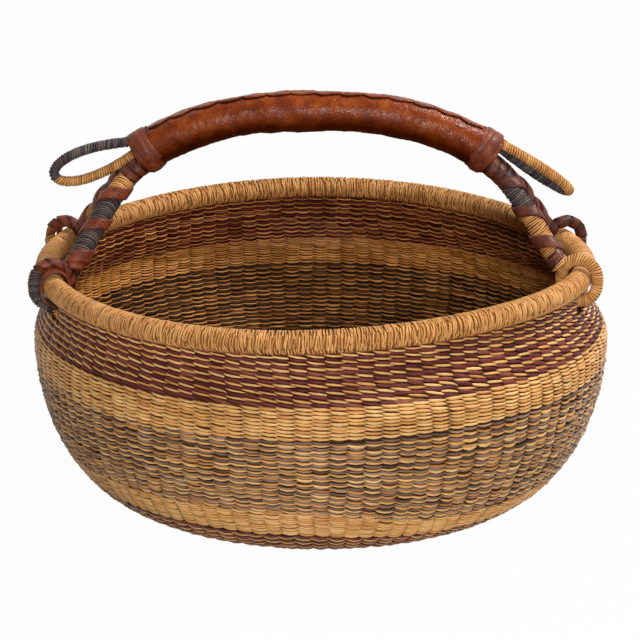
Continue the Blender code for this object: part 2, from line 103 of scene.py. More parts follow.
# Rim winding: short strands in staggered laps
KNIT_LAPS, KNIT_STATIONS, KNIT_SECTION, KNIT_PITCH, KNIT_THICKNESS = 5, 7, 4, 0.0017, 0.0011
KNIT_TILT, KNIT_TILT_SPREAD, KNIT_SWAY, KNIT_LEVEL_SPREAD = 0.0005, 0.0008, 0.0003, 0.00016
KNIT_SHIFT_SPREAD, KNIT_TURN_SPREAD = 0.45, 0.22
KNIT_REACH, KNIT_REACH_SPREAD, KNIT_DIP = 1.45, 0.3, 0.9
KNIT_HALF_WIDTH, KNIT_WIDTH_SPREAD, KNIT_TAPER = 0.50, 0.09, 0.40
RIM_CORE_INSET, RIM_CORE_STEP = 0.0016, 0.006

# Windings of straw and of leather skin: turns in metres, and the manner of each
WIND_THICKNESS_SPREAD, WIND_WIDTH_SPREAD = 0.25, 0.16
CORD_TURN, TAIL_TURN, CORD_THICKNESS, CORD_CORE_INSET = 0.0018, 0.0019, 0.0006, 0.0008
LEG_TURN, LEG_TURN_THICKNESS, LEG_CORE_INSET, LEG_END_SHARE = 0.0018, 0.0010, 0.0011, 0.7
LEG_SKIN, FOOT_SKIN, SKIN_LAP = 0.013, 0.012, 0.002
SKIN_TURN, SKIN_THICKNESS, SKIN_LIFT = 0.0085, 0.0005, 0.0003
RING_SKIN_TURN, RING_SKIN_THICKNESS, RING_SKIN_LIFT = 0.0092, 0.0004, 0.0001
RING_CORE_INSET, TAIL_GREY_SHARE = 0.0009, 0.52
CORD_MANNER = {"section": 5, "wild": 0.14, "fill": 0.50}
LEG_MANNER = {"sides": 18, "section": 5, "wild": 0.3, "fill": 0.47}
SKIN_MANNER = {"sides": 20, "section": 7, "lean": 0.3, "wild": 0.04, "fill": 0.54}
RING_SKIN_MANNER = {"sides": 18, "section": 7, "lean": 0.25, "wild": 0.03, "fill": 0.56}
TAIL_LEAN, RING_LEAN, LEG_LEAN = 0.7, 0.8, 1.5

# Grip: its leather, how it swells and where that is pulled flat, and the grip's ends
GRIP_STATIONS, GRIP_SIDES, GRIP_TRIM, GRIP_PAINTED_SHADE_TURN = 320, 72, 0.0003, math.radians(20)
GRIP_SWELL, GRIP_DIMPLE, GRIP_PEBBLE = 0.00035, 0.00022, 0.00008
SEAM_FLAT_SHARE, SEAM_FLAT_TURN = 0.95, 0.22
GRIP_END_RINGS, GRIP_END_INSET, GRIP_END_CROWN = 8, 0.0025, 0.0015

# Seam: across the lap it is flush behind, highest at the scallop's edge, then down in the crease
SEAM_STEPS, SEAM_HALF_WIDTH, SEAM_SCALLOP_DEPTH, SEAM_LIFT = 18, 0.0034, 0.0024, 0.00095
SEAM_SLIP, SEAM_PEBBLE, SEAM_LOW_SHARE = 0.0002, 0.00008, 0.55
SEAM_ACROSS = np.array((-1, -0.6, -0.2, 0.15, 0.4, 0.48, 0.5, 0.72, 0.8))
SEAM_HEIGHT = np.array((-0.3, 0.3, 0.9, 1.3, 1.3, 0.9, 0.0, 0.1, -0.4))
SEAM_EDGE_POINT = 5

# Leather straps: cross sections as shares of half the width and of the thickness
STRAP_ACROSS = np.array((-1, -0.94, -0.6, 0, 0.6, 0.94, 1, 0.94, 0, -0.94))
STRAP_RISE = np.array((0.5, 0.92, 1.05, 1.1, 1.05, 0.92, 0.5, 0, 0, 0))
LASH_ACROSS = np.array((-1, -0.95, -0.7, -0.3, 0.1, 0.5, 0.95, 1, 0.9, 0, -0.9))
LASH_RISE = np.array((0.4, 0.8, 0.96, 1.0, 0.97, 0.95, 0.8, 0.4, 0, 0, 0))
STRAP_SEAT, STRAP_SHADE = 0.0001, 0.004
STRIP_STEPS, STRIP_CREASES, STRIP_SWELL, STRIP_SWELLS = 160, 0.12, 0.08, 9
LASH_CREASES = 0.08
COLLAR_EDGE, COLLAR_STRAP, COLLAR_LEATHER, COLLAR_CREASES = 0.0045, 0.0080, 0.0017, 0.08
COLLAR_STEPS, COLLAR_TURNS, COLLAR_FIRST_TURN = 120, 2.0, 2.0
COLLAR_BITE, COLLAR_WAVE, COLLAR_SWAY, COLLAR_LINING, COLLAR_OVERHANG = (
    0.0005, 0.0005, 0.0022, 0.0006, 0.003)

# First seeds of the random draws
OUTSIDE_SEED, INSIDE_SEED, BASE_OUTER_SEED, BASE_INNER_SEED, START_SEED = 0, 20, 11, 12, 13
RIM_SEED, GRIP_SEED, SEAM_SEED, COLLAR_SEED, LEG_SEED = 21, 31, 41, 51, 60
STRIP_SEED, LOOP_SEED, LASHING_SEED, TAIL_SEED = 70, 80, 90, 101

# Light, floor and camera; the camera was fitted to the rim in the photo's 640 by 640 pixels
LAMPS = (("key", (1.2, 0.1, 2.0), 48), ("front", (0.2, -2.15, 1.0), 37),
         ("left", (-0.9, 0.6, 2.0), 4))
LAMP_SIZE, LAMP_TARGET = 0.5, (0, 0, 0.12)
FLOOR_REACH, FLOOR_COLOUR, FLOOR_WHITE_SHARE, WORLD_STRENGTH = 6.0, (0.62, 0.62, 0.62), 0.97, 0.03
WORLD_COLOUR, WHITE = (0.95, 0.97, 1.0), (1, 1, 1)
SENSOR_WIDTH, CAMERA_DISTANCE, CAMERA_ELEVATION = 36, 2.0, math.radians(16.35)
PHOTO_PIXELS, FOCAL_PIXELS, RIM_MIDDLE_COLUMN, RIM_MIDDLE_ROW = 640, 2680, 321, 259.2


# Shapes shared with the CAD

def smooth_share(value, low, high):
    share = np.clip((value - low) / (high - low), 0, 1)
    return share * share * (3 - 2 * share)


def rim_wave(angle):
    height = 0
    for turn, (c, s) in enumerate(zip(RIM_WAVE_COS, RIM_WAVE_SIN), start=1):
        height = height + c * np.cos(turn * angle) + s * np.sin(turn * angle)
    return height


def bowl_points(radius, height, angle):
    share = smooth_share(height, BELLY_HEIGHT, RIM_HEIGHT - NECK_DROP)
    return np.stack([RIM_SHIFT * share + radius * np.cos(angle), radius * np.sin(angle),
                     height + rim_wave(angle) * share], axis=-1)


def rim_point(angle, out, up):
    outward = np.array((math.cos(angle), math.sin(angle), 0))
    return (bowl_points(RIM_RADIUS, np.float64(RIM_HEIGHT), angle) + outward * out
            + np.array((0, 0, up)))


def wall_line():
    neck = RIM_HEIGHT - NECK_DROP
    top = RIM_HEIGHT - CORE_TUBE - GAP
    heights = np.linspace(neck, BELLY_HEIGHT, CURVE_SAMPLES, endpoint=False)
    share = smooth_share(heights, BELLY_HEIGHT, neck)
    upper = np.stack([BELLY_RADIUS + (RIM_RADIUS + WALL / 2 - BELLY_RADIUS) * share, heights], 1)
    turn = np.linspace(0, math.pi / 2, CURVE_SAMPLES + 1)
    lower = np.stack([BASE_RADIUS + (BELLY_RADIUS - BASE_RADIUS) * np.cos(turn),
                      BELLY_HEIGHT * (1 - np.sin(turn))], 1)
    flat = np.stack([np.linspace(BASE_RADIUS, 0, CURVE_SAMPLES)[1:],
                     np.zeros(CURVE_SAMPLES - 1)], 1)
    return np.concatenate([[(RIM_RADIUS + WALL / 2, top)], upper, lower, flat])


LINE = wall_line()
LENGTHS = np.concatenate([[0], np.cumsum(np.hypot(*np.diff(LINE, axis=0).T))])
SLOPE = np.gradient(LINE, axis=0)
SLOPE /= np.linalg.norm(SLOPE, axis=1)[:, None]


def wall_points(along, depth, angle):
    """Points of the wall: distance down it from the top edge, depth from its outside, angle."""
    radius, height, dr, dz = (np.interp(along, LENGTHS, column) for column in
                              (LINE[:, 0], LINE[:, 1], SLOPE[:, 0], SLOPE[:, 1]))
    return bowl_points(radius + dz * depth, height - dr * depth, angle)


def drift(along, angle):
    """How far the outer weave has wandered down the wall, which is most at the front right."""
    turn = np.mod(angle - DRIFT_START, math.tau)
    right = smooth_share(turn, 0, DRIFT_RISE) * (1 - smooth_share(turn, DRIFT_FALL, math.tau))
    borders = [DRIFT_TOP, *BAND_EDGES[1:]]
    total = 0 * along
    for i, (everywhere, more) in enumerate(BORDER_DRIFT):
        total = total + np.interp(along, borders[i:i + 3], (0, 1, 0)) * (everywhere + more * right)
    return total


def loop_play(angle):
    return RIM_RADIUS * abs(math.sin(angle)) * math.sin(ROCK) + GAP


def loop_angle(side, front):
    return LOOP_ANGLE * front if side > 0 else math.pi - LOOP_ANGLE * front


def loop_path(angle, half_width):
    """A closed upright oval round the rim."""
    play = loop_play(angle)
    points = []
    for centre, first in ((play, 0), (-play, math.pi)):
        for turn in np.linspace(first, first + math.pi, LOOP_STEPS):
            points.append(rim_point(angle, half_width * math.cos(turn),
                                    centre + half_width * math.sin(turn)))
    return np.array(points)


def grip_table():
    across = np.linspace(-1, 1, CURVE_SAMPLES)
    x = RIM_SHIFT + across * GRIP_HALF_SPAN
    z = RIM_HEIGHT + GRIP_RISE - GRIP_DROP * np.abs(across) ** GRIP_ARCH_POWER
    lengths = np.concatenate([[0], np.cumsum(np.hypot(np.diff(x), np.diff(z)))])
    dx, dz = np.gradient(x), np.gradient(z)
    size = np.hypot(dx, dz)
    return x, z, dx / size, dz / size, lengths


GRIP_X, GRIP_Z, GRIP_DX, GRIP_DZ, GRIP_LENGTHS = grip_table()
GRIP_LENGTH = GRIP_LENGTHS[-1]


def grip_frames(distance):
    """Points, directions and upward normals of the grip's arch at distances along it."""
    x, z, dx, dz = (np.interp(distance, GRIP_LENGTHS, column)
                    for column in (GRIP_X, GRIP_Z, GRIP_DX, GRIP_DZ))
    zero = np.zeros_like(x)
    return (np.stack([x, zero, z], -1), np.stack([dx, zero, dz], -1),
            np.stack([-dz, zero, dx], -1))


def end_frame(side):
    """Middle of the grip's end face, the way out of it, and its upward direction."""
    point, direction, up = grip_frames(np.float64(0 if side < 0 else GRIP_LENGTH))
    return point, direction * side, up


def leg_path(side, front):
    face, out, up = end_frame(side)
    angle = loop_angle(side, front)
    foot = rim_point(angle, LOOP_HALF_WIDTH * math.cos(LEG_MEETS_LOOP),
                     loop_play(angle) + LOOP_HALF_WIDTH * math.sin(LEG_MEETS_LOOP))
    head = face + out * GAP - up * LEG_SEAT_DROP + np.array((0, front * LEG_SPREAD / 2, 0))
    reach = np.linalg.norm(foot - head)
    straight = (foot - head) / reach
    bend, knee = head + out * reach / 4, foot - straight * reach / 3
    t = np.linspace(0, 1, CURVE_SAMPLES)[:, None]
    u = 1 - t
    return head * u ** 3 + bend * 3 * u * u * t + knee * 3 * u * t * t + foot * t ** 3


def tail_path(side, droop, lean, seat):
    face, out, up = end_frame(side)
    axis = np.array((side * math.cos(droop), 0, -math.sin(droop)))
    wide = BACKWARD * math.cos(lean) + np.cross(axis, BACKWARD) * side * math.sin(lean)
    mouth = TAIL_RADIUS / math.cos(math.pi / CORD_SIDES) + GAP
    swell = (TAIL_WIDTH / 2 - TAIL_RADIUS - mouth / 2) / TAIL_WIDEST_SHARE
    turn = np.linspace(TAIL_FIRST_TURN, math.tau - TAIL_FIRST_TURN, TAIL_STEPS)[:, None]
    along = (TAIL_LENGTH - TAIL_RADIUS) * (1 - np.cos(turn)) / 2
    aside = mouth * np.cos(turn / 2) + swell * np.sin(turn) * np.sin(turn / 2)
    line = face + up * seat + axis * along + wide * aside
    for end in (0, -1):
        line[end] -= out * ((line[end] - face) @ out - GAP)
    return line


# Mesh building

class Build:
    """Gathers grids of points into one mesh with a material for each grid."""

    def __init__(self):
        self.points, self.faces, self.slots, self.strands = [], [], [], []
        self.count = 0

    def grid(self, points, slot, strand, wrap_u=False, wrap_v=False):
        """points (..., U, V, 3) as quads; strand (..., U, V, 3) is along, edge and a draw."""
        points = np.asarray(points, float)
        u, v = points.shape[-3:-1]
        batches = points.reshape(-1, u * v, 3)
        i, j = np.arange(u if wrap_u else u - 1), np.arange(v if wrap_v else v - 1)
        i, j = np.meshgrid(i, j, indexing="ij")
        quads = np.stack([i * v + j, i * v + (j + 1) % v, (i + 1) % u * v + (j + 1) % v,
                          (i + 1) % u * v + j], -1).reshape(-1, 4)
        starts = self.count + np.arange(len(batches)) * u * v
        self.faces.append((quads[None] + starts[:, None, None]).reshape(-1, 4))
        slot = np.broadcast_to(np.asarray(slot), (len(batches),))
        self.slots.append(np.repeat(slot, len(quads)))
        self.points.append(batches.reshape(-1, 3))
        strand = np.broadcast_to(strand, points.shape)
        self.strands.append(strand.reshape(-1, 3))
        self.count += len(batches) * u * v

    def piece(self, name, finishes, body, nodes, slot):
        points, faces = np.concatenate(self.points), np.concatenate(self.faces)
        mesh = bpy.data.meshes.new(name)
        mesh.vertices.add(len(points))
        mesh.vertices.foreach_set("co", points.astype(np.float32).ravel())
        mesh.loops.add(faces.size)
        mesh.loops.foreach_set("vertex_index", faces.astype(np.int32).ravel())
        mesh.polygons.add(len(faces))
        mesh.polygons.foreach_set("loop_start", np.arange(0, faces.size, 4, dtype=np.int32))
        mesh.polygons.foreach_set("material_index",
                                  np.concatenate(self.slots).astype(np.int32))
        mesh.polygons.foreach_set("use_smooth", np.ones(len(faces), dtype=bool))
        strand = mesh.attributes.new("strand", "FLOAT_VECTOR", "POINT")
        strand.data.foreach_set("vector", np.concatenate(self.strands).astype(np.float32).ravel())
        mesh.update(calc_edges=True)
        mesh.validate()
        for finish in finishes:
            mesh.materials.append(finish)
        made = bpy.data.objects.new(name, mesh)
        bpy.context.scene.collection.objects.link(made)
        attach(made, body)
        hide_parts(*nodes)


class Path:
    """A smooth line in space that a cord or strap follows, with a normal carried along it."""

    def __init__(self, points, first, closed=False):
        points = np.array(points)
        if closed:
            points = np.concatenate([points, points[:1]])
            ahead = np.concatenate([points[1:], points[1:2]])
            behind = np.concatenate([points[-2:-1], points[:-1]])
        else:
            ahead = np.concatenate([points[1:], points[-1:]])
            behind = np.concatenate([points[:1], points[:-1]])
        steps = np.linalg.norm(np.diff(points, axis=0), axis=1)
        tangents = ahead - behind
        tangents /= np.linalg.norm(tangents, axis=1)[:, None]
        normals = []
        normal = np.array(first, float)
        for tangent in tangents:
            normal = normal - tangent * (normal @ tangent)
            normal /= np.linalg.norm(normal)
            normals.append(normal)
        self.lines = points, tangents, np.array(normals)
        self.lengths = np.concatenate([[0], np.cumsum(steps)])
        self.length = self.lengths[-1]

    def at(self, distance):
        distance = np.clip(distance, 0, self.length)
        point, tangent, normal = (np.stack([np.interp(distance, self.lengths, column)
                                            for column in line.T], -1) for line in self.lines)
        tangent /= np.linalg.norm(tangent, axis=-1)[..., None]
        normal -= tangent * (normal * tangent).sum(-1)[..., None]
        normal /= np.linalg.norm(normal, axis=-1)[..., None]
        return point, tangent, normal, np.cross(tangent, normal)

    def around(self, distance, turn, radius):
        """Points at a turn round the path, and their outward directions and tangents."""
        point, tangent, normal, other = self.at(distance)
        outward = normal * np.cos(turn)[..., None] + other * np.sin(turn)[..., None]
        return point + outward * np.asarray(radius)[..., None], outward, tangent


def ripple(rng, count, *coordinates):
    """Smooth noise of about -1 to 1 from a few crossed waves."""
    total = 0
    for _ in range(count):
        phase = rng.uniform(0, math.tau)
        total = total + np.sin(sum(coordinate * rng.uniform(0.4, 1.0) * rng.choice((-1, 1))
                                   for coordinate in coordinates) + phase)
    return total / count ** 0.5


def fill_strand(points, along, edge, draw):
    """The three values that the materials read at each point of a strand."""
    strand = np.zeros(points.shape)
    for i, values in enumerate((along, edge, draw)):
        strand[..., i] = values
    return strand


def rounded(centre, outward, tangent, high, half, section):
    """Points across strands from their middle lines, and how near its edges each one lies."""
    side = np.linspace(-1, 1, section)
    lift = np.asarray(high)[..., None] * np.cos(side * math.pi / 2)
    aside = half[..., None] * np.sin(side * math.pi / 2)
    points = (centre[..., None, :] + outward[..., None, :] * lift[..., None]
              + tangent[..., None, :] * aside[..., None])
    return points, np.abs(side)


def wind(build, path, radius, pitch, thick, colours, rng, start=0, end=None, *, sides=14, section,
         lean, wild, fill):
    """Strands wound round a path, one turn after the other, like thread on a reel.

    colours is a list of material slots, each with the share of the path's length where it starts.
    """
    end = path.length if end is None else end
    count = max(1, round((end - start) / pitch))
    pitch = (end - start) / count
    turn = np.linspace(0, math.tau, sides + 1)
    k = np.arange(count)[:, None]
    swell = rng.uniform(-1, 1, count)[:, None]
    phase = rng.uniform(0, math.tau, count)[:, None]
    wobble = wild * (ripple(rng, 5, k * 0.8, turn * 1.6) + 0.35 * np.sin(turn * 2 + phase))
    middle = start + pitch * (k + turn / math.tau + lean * np.sin(turn) + wobble)
    line = path.around(middle, np.broadcast_to(turn, middle.shape),
                       np.full(middle.shape, radius - thick))
    high = thick * (1 + WIND_THICKNESS_SPREAD * swell) * np.ones_like(turn)
    half = pitch * fill * (1 + WIND_WIDTH_SPREAD * swell) * np.ones_like(turn)
    points, edge = rounded(*line, high, half, section)
    strand = fill_strand(points, (turn * radius)[None, :, None], edge,
                         rng.uniform(0, 1, count)[:, None, None])
    places, slots = zip(*colours)
    shares = (start + pitch * (np.arange(count) + 0.5)) / path.length
    found = np.searchsorted(places, shares, side="right") - 1
    build.grid(points, np.array(slots)[found], strand)


def knit(build, path, radius, slot, rng):
    """Short strands round a closed path, crossing in staggered laps like a looped edging."""
    count = round(path.length / KNIT_PITCH)
    u = np.linspace(-1, 1, KNIT_STATIONS)[None, :]
    for lap in range(KNIT_LAPS):
        draws = rng.uniform(-1, 1, (6, count, 1))
        middle = ((np.arange(count)[:, None] + lap / 2 + KNIT_SHIFT_SPREAD * draws[0])
                  * path.length / count)
        tilt = KNIT_TILT * (-1) ** lap + KNIT_TILT_SPREAD * draws[1]
        arc = math.pi / KNIT_LAPS * (KNIT_REACH + KNIT_REACH_SPREAD * draws[2])
        turn = math.tau * (lap + KNIT_TURN_SPREAD * draws[3]) / KNIT_LAPS + arc * u
        along = middle + tilt * u + KNIT_SWAY * draws[4] * np.sin(u * math.pi)
        level = (radius - KNIT_THICKNESS * (1 + KNIT_DIP * u ** 4)
                 + KNIT_LEVEL_SPREAD * draws[5])
        half = (KNIT_PITCH * (KNIT_HALF_WIDTH + KNIT_WIDTH_SPREAD * draws[2])
                * (1 - KNIT_TAPER * u * u))
        points, edge = rounded(*path.around(along % path.length, turn, level), KNIT_THICKNESS,
                               half, KNIT_SECTION)
        # The strand's ends, where they dive under the laps, get painted shade through the edge
        # value.
        strand = fill_strand(points, (turn * radius)[..., None], np.maximum(edge, (u ** 4).T),
                             rng.uniform(0, 1, count)[:, None, None])
        build.grid(points, slot, strand)


def tube(build, path, radius, slot, start=0, end=None, step=0.003, sides=14):
    """A plain tube under a winding, so that nothing shows through between its turns."""
    end = path.length if end is None else end
    count = max(2, math.ceil((end - start) / step))
    distance = np.linspace(start, end, count + 1)[:, None]
    turn = np.linspace(0, math.tau, sides, endpoint=False)[None, :]
    points = path.around(distance + 0 * turn, turn + 0 * distance,
                         np.full((count + 1, sides), radius))[0]
    build.grid(points, slot, fill_strand(points, distance, 0, turn), wrap_v=True)


# Materials

def node(tree, kind, vector=None, **values):
    """A shader node with its settings and inputs, and with a link to its Vector if one is given."""
    made = tree.nodes.new("ShaderNode" + kind)
    for key, value in values.items():
        if hasattr(made, key):
            setattr(made, key, value)
        else:
            made.inputs[key].default_value = value
    if vector is not None:
        tree.links.new(vector, made.inputs["Vector"])
    return made


def ramp(tree, source, stops):
    made = node(tree, "ValToRGB")
    elements = made.color_ramp.elements
    while len(elements) < len(stops):
        elements.new(0.5)
    for element, (place, colour) in zip(elements, stops):
        element.position = place
        element.color = (*colour, 1)
    tree.links.new(source, made.inputs["Fac"])
    return made.outputs["Color"]


def multiply(tree, factor, a, b):
    made = node(tree, "Mix", data_type="RGBA", blend_type="MULTIPLY")
    made.inputs[0].default_value = factor
    tree.links.new(a, made.inputs[6])
    tree.links.new(b, made.inputs[7])
    return made.outputs[2]


def start_material(name):
    """A new material, its tree and shader, the object's place, and each strand's values."""
    made = bpy.data.materials.new(name)
    made.use_nodes = True
    tree = made.node_tree
    place = node(tree, "TexCoord").outputs["Object"]
    strand = node(tree, "Attribute", attribute_name="strand").outputs["Vector"]
    return made, tree, tree.nodes["Principled BSDF"], place, strand


def finish_material(tree, shader, colour, height, strength, distance, roughness, shine):
    """Links the colour and the relief to the shader, and sets or links its roughness."""
    tree.links.new(colour, shader.inputs["Base Color"])
    bump = node(tree, "Bump", Strength=strength, Distance=distance)
    tree.links.new(height, bump.inputs["Height"])
    tree.links.new(bump.outputs[0], shader.inputs["Normal"])
    if isinstance(roughness, float):
        shader.inputs["Roughness"].default_value = roughness
    else:
        tree.links.new(roughness, shader.inputs["Roughness"])
    shader.inputs["Specular IOR Level"].default_value = shine


def straw(name, dark, middle, light, odd, roughness=0.38, painted_gap_shade=(0.13, 0.07, 0.035), shine=0.12):
    """Split grass: each strand has its own tone, fibres run along it, and its edges get painted
    shade.
    """
    made, tree, shader, place, strand = start_material(name)
    part = node(tree, "SeparateXYZ", strand)
    shades = (0.0, dark), (0.35, middle), (0.75, light), (0.93, odd)
    shade = ramp(tree, part.outputs["Z"], shades)
    # Painted shade: towards each strand's edges and tucked ends, its colour is darkened to the gap
    # colour, as shade between strands.
    crease = ramp(tree, part.outputs["Y"], ((0.38, WHITE), (0.82, painted_gap_shade)))
    stretch = node(tree, "Mapping", strand, Scale=(110, 6.0, 97))
    fibre = node(tree, "TexNoise", stretch.outputs[0], Scale=1.0, Detail=3.0, Roughness=0.6)
    streak = ramp(tree, fibre.outputs["Fac"], ((0.3, (0.42, 0.36, 0.30)), (0.6, WHITE)))
    cloud = node(tree, "TexNoise", place, Scale=38.0, Detail=2.0)
    patch = ramp(tree, cloud.outputs["Fac"], ((0.3, (0.78, 0.74, 0.70)), (0.7, WHITE)))
    colour = multiply(tree, 0.75, multiply(tree, 0.75, shade, streak), patch)
    finish_material(tree, shader, multiply(tree, 1.0, colour, crease), fibre.outputs["Fac"],
                    0.35, 0.0002, roughness, shine)
    return made


def leather(name, dark, middle, light, roughness, shine):
    """Waxed goatskin: mottled colour, fine pebble and soft creases across the strap."""
    made, tree, shader, place, strand = start_material(name)
    part = node(tree, "SeparateXYZ", strand)
    cloud = node(tree, "TexNoise", place, Scale=70.0, Detail=5.0, Roughness=0.65)
    colour = ramp(tree, cloud.outputs["Fac"], ((0.28, dark), (0.5, middle), (0.72, light)))
    grain = node(tree, "TexVoronoi", place, Scale=900.0)
    crease = node(tree, "TexNoise", place, Scale=260.0, Detail=4.0, Distortion=0.6)
    height = multiply(tree, 0.5, crease.outputs["Fac"], grain.outputs["Distance"])
    # Painted shade: a high edge value darkens the leather; on the grip it grows towards the
    # underside.
    painted_underside_shade = ramp(tree, part.outputs["Y"], ((0.30, WHITE), (0.62, (0.27, 0.18, 0.13))))
    rough = ramp(tree, crease.outputs["Fac"], ((0.3, (roughness - 0.10,) * 3),
                                               (0.7, (roughness + 0.10,) * 3)))
    finish_material(tree, shader, multiply(tree, 1.0, colour, painted_underside_shade), height, 0.9, 0.0007, rough,
                    shine)
    return made


NATURAL = straw("natural_straw", (0.62, 0.28, 0.078), (0.86, 0.44, 0.135), (0.96, 0.59, 0.23),
                (0.76, 0.36, 0.11), shine=0.18)
PLUM = straw("plum_straw", (0.072, 0.012, 0.012), (0.130, 0.024, 0.023), (0.205, 0.047, 0.042),
             (0.28, 0.088, 0.052))
TAN = straw("tan_straw", (0.54, 0.24, 0.070), (0.78, 0.40, 0.122), (0.94, 0.57, 0.22),
            (0.64, 0.30, 0.095))
INDIGO = straw("indigo_straw", (0.095, 0.057, 0.048), (0.225, 0.140, 0.107), (0.42, 0.275, 0.195),
               (0.56, 0.31, 0.140))
GREY = straw("grey_straw", (0.050, 0.038, 0.048), (0.085, 0.068, 0.080), (0.135, 0.112, 0.118),
             (0.17, 0.14, 0.12))
# Near-black straw for the stakes' layer and the cores under windings: painted shade, seen only in
# the gaps between strands.
PAINTED_SHADE_STRAW = straw("painted_shade_straw", (0.10, 0.04, 0.012), (0.14, 0.06, 0.018), (0.18, 0.08, 0.025),
             (0.14, 0.06, 0.018), 0.8, shine=0.05)
RED_LEATHER = leather("red_leather", (0.08, 0.008, 0.001), (0.18, 0.028, 0.002),
                      (0.31, 0.066, 0.008), 0.26, 0.13)
BROWN_LEATHER = leather("brown_leather", (0.055, 0.009, 0.004), (0.15, 0.030, 0.012),
                        (0.27, 0.066, 0.023), 0.40, 0.18)
DARK_LEATHER = leather("dark_leather", (0.036, 0.007, 0.004), (0.088, 0.020, 0.010),
                       (0.17, 0.044, 0.019), 0.40, 0.18)
# Near-black leather for the seam's crease: painted shade.
SEAM_PAINTED_SHADE = leather("seam_painted_shade_leather", (0.02, 0.004, 0.001), (0.04, 0.007, 0.002),
                 (0.06, 0.010, 0.003), 0.7, 0.02)
WOUND = straw("wound_straw", (0.60, 0.28, 0.085), (0.72, 0.35, 0.11), (0.84, 0.45, 0.16),
              (0.64, 0.29, 0.09), painted_gap_shade=(0.36, 0.25, 0.16))
SHADED = straw("shaded_straw", (0.30, 0.120, 0.028), (0.38, 0.160, 0.040), (0.46, 0.205, 0.055),
               (0.38, 0.160, 0.040), 0.8, shine=0.05)
# Darker, more saturated copies of the straws for the inside of the bowl, as painted shade; the deep
# copy, darker still, is for the natural rows inside the coloured bands.
NATURAL_INNER_PAINTED_SHADE = straw("natural_inner_painted_shade_straw", (0.34, 0.12, 0.020), (0.52, 0.21, 0.042),
                      (0.74, 0.34, 0.09), (0.46, 0.16, 0.028), painted_gap_shade=(0.045, 0.020, 0.010),
                      shine=0.16)
PLUM_INNER_PAINTED_SHADE = straw("plum_inner_painted_shade_straw", (0.045, 0.005, 0.004), (0.085, 0.011, 0.009),
                   (0.15, 0.024, 0.019), (0.28, 0.09, 0.035), painted_gap_shade=(0.08, 0.04, 0.02), shine=0.04)
INDIGO_INNER_PAINTED_SHADE = straw("indigo_inner_painted_shade_straw", (0.010, 0.005, 0.004), (0.028, 0.014, 0.009),
                     (0.070, 0.039, 0.025), (0.20, 0.09, 0.03), painted_gap_shade=(0.08, 0.04, 0.02),
                     shine=0.04)
NATURAL_DEEP_PAINTED_SHADE = straw("natural_deep_painted_shade_straw", (0.26, 0.095, 0.018), (0.44, 0.175, 0.040),
                   (0.68, 0.31, 0.090), (0.40, 0.14, 0.026), painted_gap_shade=(0.030, 0.014, 0.008),
                   shine=0.08)
NATURAL_SLOT, COLOUR_SLOT, PAINTED_SHADE_SLOT, INNER_SLOTS = 0, 1, 2, 3
NATURAL_WEAVE = (NATURAL, PLUM, PAINTED_SHADE_STRAW, NATURAL_INNER_PAINTED_SHADE, PLUM_INNER_PAINTED_SHADE)
PLUM_WEAVE = (NATURAL, PLUM, PAINTED_SHADE_STRAW, NATURAL_DEEP_PAINTED_SHADE, PLUM_INNER_PAINTED_SHADE)
INDIGO_WEAVE = (TAN, INDIGO, PAINTED_SHADE_STRAW, NATURAL_DEEP_PAINTED_SHADE, INDIGO_INNER_PAINTED_SHADE)


# Woven bowl

def slot_windows():
    """Where the handle's loops pass through the wall: angle limits, and how far down."""
    windows = []
    for side in (-1, 1):
        for front in (-1, 1):
            angle = loop_angle(side, front)
            tilt = ((LOOP_HALF_WIDTH + LOOP_RADIUS + 2 * loop_play(angle)) * math.sin(ROCK)
                    + 2 * GAP)
            low = high = LOOP_RADIUS + tilt
            if side < 0:
                far = LOOP_RADIUS + 2 * GAP + LASHING_WIDTH + tilt
                low, high = (far, high) if front > 0 else (low, far)
            drop = LOOP_HALF_WIDTH + LOOP_RADIUS + 2 * loop_play(angle) - CORE_TUBE
            windows.append((angle - low / RIM_RADIUS, angle + high / RIM_RADIUS, drop))
    return windows


WINDOWS = slot_windows()


def in_window(angle, along, spare, below):
    """True where a stitch would cross a loop's hole, with room to spare beside and below it."""
    hit = np.zeros(np.broadcast(angle, along).shape, bool)
    for low, high, drop in WINDOWS:
        middle, half = (low + high) / 2, (high - low) / 2 + spare
        apart = np.abs((angle - middle + math.pi) % math.tau - math.pi)
        hit |= (apart < half) & (along < drop + below)
    return hit


